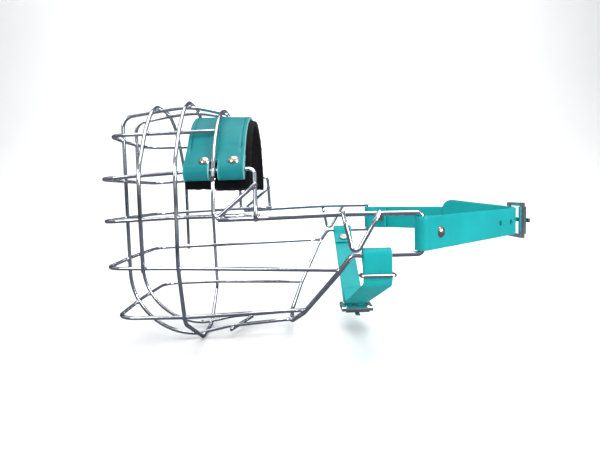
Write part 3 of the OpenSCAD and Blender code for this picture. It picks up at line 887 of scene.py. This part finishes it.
def build_throat_straps():
    wire = Vector((-LOOP_BOTTOM_Z, -LOOP_Y))
    eye_end = wire - Vector((0, EYE_RADIUS + THROAT_THICKNESS/2))
    turn_centre = eye_end + Vector((THROAT_LEVEL, THROAT_TURN))
    turn = arc(turn_centre, THROAT_TURN, -90, THROAT_ANGLE - 90, 8)
    crossing, straight, reach = cross_behind(turn[-1], THROAT_ANGLE, THROAT_BEND, overlap=17,
                                             tail_steps=6)
    path = [eye_end] + turn + crossing[1:]
    bend_start = THROAT_LEVEL + THROAT_TURN*math.radians(THROAT_ANGLE) + straight
    holes = [hole_at(path, bend_start - 3 - 14*i, throat_place, radius=1.7) for i in (1, 2, 3)]
    near = ribbon("throat_strap_near", eye_path(wire, 0, THROAT_THICKNESS, 12.2) + path[1:],
                  THROAT_WIDTH, THROAT_THICKNESS, throat_place, holes=holes, round_tail=True)
    register(near, "throat_left", "throat_strap_left")
    build_far_strap("throat_strap_far", wire, THROAT_FAR_ANGLE, THROAT_THICKNESS, THROAT_WIDTH,
                    bar=Vector((reach + 3.9, 9)), toward=(0.83, 0.55), place=throat_place,
                    body="throat_right", replaced="throat_strap_right")


build_neck_straps()
build_throat_straps()


# ------------------------------------------------------------------ CAD metal parts
def set_material(part, material):
    if not part.data.materials:
        part.data.materials.append(material)
    else:
        for slot in part.material_slots:
            slot.material = material


for part_name in ("neck_buckle_frame", "neck_buckle_roller", "neck_buckle_prong",
                  "throat_buckle_frame", "throat_buckle_roller", "throat_buckle_prong",
                  "throat_slider"):
    set_material(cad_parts[part_name], STEEL)
    add_bevel(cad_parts[part_name], width=0.25, segments=3, angle=40)
for part_name in ("pad_rivet_caps", "pad_rivet_posts", "neck_rivet_left", "neck_rivet_right",
                  "throat_rivet_right"):
    set_material(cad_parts[part_name], NICKEL)


# ------------------------------------------------------------------ stage, light, camera
def build_backdrop():
    """Floor that curves up into a wall behind (+y)."""
    half_width, near, curve_start, curve, top = 6000, -3000, 1200, 1200, 5000
    profile = [(near, 0), (curve_start, 0)]             # (y, z) above the floor
    for degrees in range(10, 91, 10):
        angle = math.radians(degrees)
        profile.append((curve_start + curve*math.sin(angle), curve - curve*math.cos(angle)))
    profile.append((curve_start + curve, top))
    verts = [Vector((x, y, z)) - OFFSET for x in (-half_width, half_width) for y, z in profile]
    count = len(profile)
    faces = [(i, i + 1, count + i + 1, count + i) for i in range(count - 1)]
    add_object("backdrop", verts, faces, paper("paper"))


def build_world():
    """Even light for the scene, with a banded sky that only reflections see."""
    world = bpy.data.worlds.new("studio")
    bpy.context.scene.world = world
    world.use_nodes = True
    tree = world.node_tree
    even = tree.nodes["Background"]
    fill(even, {"Color": (0.95, 0.97, 1.0, 1), "Strength": 0.36})
    direction = node(tree, "TexCoord").outputs["Generated"]
    height = node(tree, "SeparateXYZ", {"Vector": direction}).outputs["Z"]
    sky = node(tree, "ValToRGB", {"Fac": multiply_add(tree, height, factor=0.5, addend=0.5)})
    sky.color_ramp.interpolation = "EASE"
    stops = sky.color_ramp.elements
    stops[0].position, stops[0].color = 0.0, (0.03, 0.03, 0.035, 1)
    stops[1].position, stops[1].color = 1.0, (0.35, 0.36, 0.38, 1)
    # bands: height from straight down (0) to straight up (1), brightness
    for position, value in ((0.50, 0.03), (0.56, 0.45), (0.64, 0.06), (0.78, 0.75), (0.88, 0.30)):
        stops.new(position).color = (value*0.96, value*0.98, value, 1)
    banded = node(tree, "Background", {"Color": sky.outputs["Color"], "Strength": 1.0})
    mirrored = node(tree, "LightPath").outputs["Is Glossy Ray"]
    mix = node(tree, "MixShader", {0: mirrored, 1: even.outputs[0], 2: banded.outputs[0]})
    fill(tree.nodes["World Output"], {"Surface": mix.outputs[0]})


def area_light(name, place, target, size, power):
    """Square area light; places and size in metres, power in watts."""
    light = bpy.data.lights.new(name, "AREA")
    light.shape = "RECTANGLE"
    light.size = light.size_y = size
    light.energy = power
    lamp = bpy.data.objects.new(name, light)
    bpy.context.scene.collection.objects.link(lamp)
    lamp.location = place
    lamp.rotation_euler = (Vector(target) - Vector(place)).to_track_quat("-Z", "Y").to_euler()


def build_camera(distance=335.0, lens=27.0, yaw=0.86, pitch=4.03, roll=-1.43):
    """Camera on the left side looking along +y; angles in degrees, pitch downward."""
    yaw, pitch, roll = math.radians(yaw), math.radians(pitch), math.radians(roll)
    forward = Vector((math.sin(yaw)*math.cos(pitch), math.cos(yaw)*math.cos(pitch),
                      -math.sin(pitch)))
    level = Vector((math.cos(yaw), -math.sin(yaw), 0))
    upright = level.cross(forward)
    right = level*math.cos(roll) + upright*math.sin(roll)
    up = upright*math.cos(roll) - level*math.sin(roll)
    data = bpy.data.cameras.new("camera")
    data.sensor_width = 36
    data.lens = lens
    data.clip_start = 0.01
    camera = bpy.data.objects.new("camera", data)
    bpy.context.scene.collection.objects.link(camera)
    pose = Matrix((right, up, -forward)).transposed().to_4x4()
    pose.translation = (Vector((0, -distance, 0)) + OFFSET)*MM
    camera.matrix_world = pose
    bpy.context.scene.camera = camera


build_backdrop()
build_world()
area_light("key_top", place=(0.1, -0.25, 1.3), target=(0, 0, 0.08), size=1.0, power=9)
area_light("front_left", place=(-0.9, -1.0, 0.7), target=(0, 0, 0.08), size=0.5, power=5)
area_light("front_right", place=(1.0, -0.9, 0.55), target=(0.1, 0, 0.08), size=0.4, power=13)
area_light("back_wash", place=(0.0, 0.9, 1.6), target=(0, 2.4, 0.5), size=2.2, power=30)
area_light("floor_wash", place=(0.0, 0.5, 2.2), target=(0, 0.6, 0.0), size=2.6, power=22)
build_camera()
bpy.context.scene.view_settings.view_transform = "Standard"
bpy.context.scene.view_settings.exposure = 0.0
